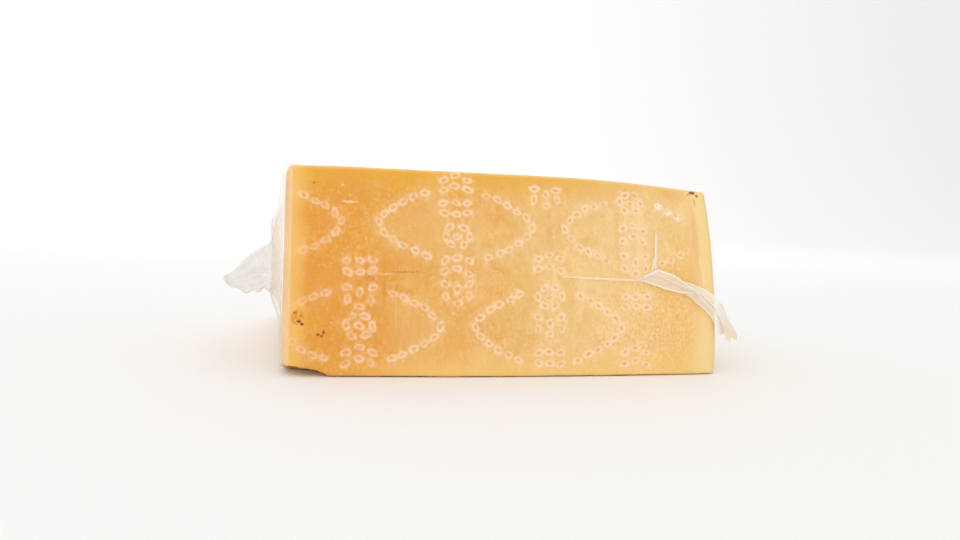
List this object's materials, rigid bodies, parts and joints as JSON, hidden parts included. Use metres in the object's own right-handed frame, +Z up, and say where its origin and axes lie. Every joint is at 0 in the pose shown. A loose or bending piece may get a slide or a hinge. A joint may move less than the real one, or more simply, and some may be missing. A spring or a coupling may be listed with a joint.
{
  "type": "film-wrapped wedge of hard grana cheese",
  "caption": "Wedge of hard grana cheese with pin-pricked rind, lying on a cut face and wrapped in clear film gathered into two tails.",
  "frame": {"origin": "middle of the whole box's base, on the surface the wedge lies on", "axes": "+X along the wheel's axis, from the end with the standing tail to the end with the hanging tail; -Y out of the rind; +Z up from the lower cut face"},
  "size_m": [0.2344, 0.1968, 0.0905],
  "materials": {
    "cheese": "waxy straw-yellow cheese, dull and slightly translucent",
    "film": "clear food film, milky where it is creased or gathered"
  },
  "bodies": {
    "root": {"cheese_wedge": "cheese", "film_skin": "film", "film_tail_left": "film", "film_tail_right": "film"}
  },
  "joints": []
}
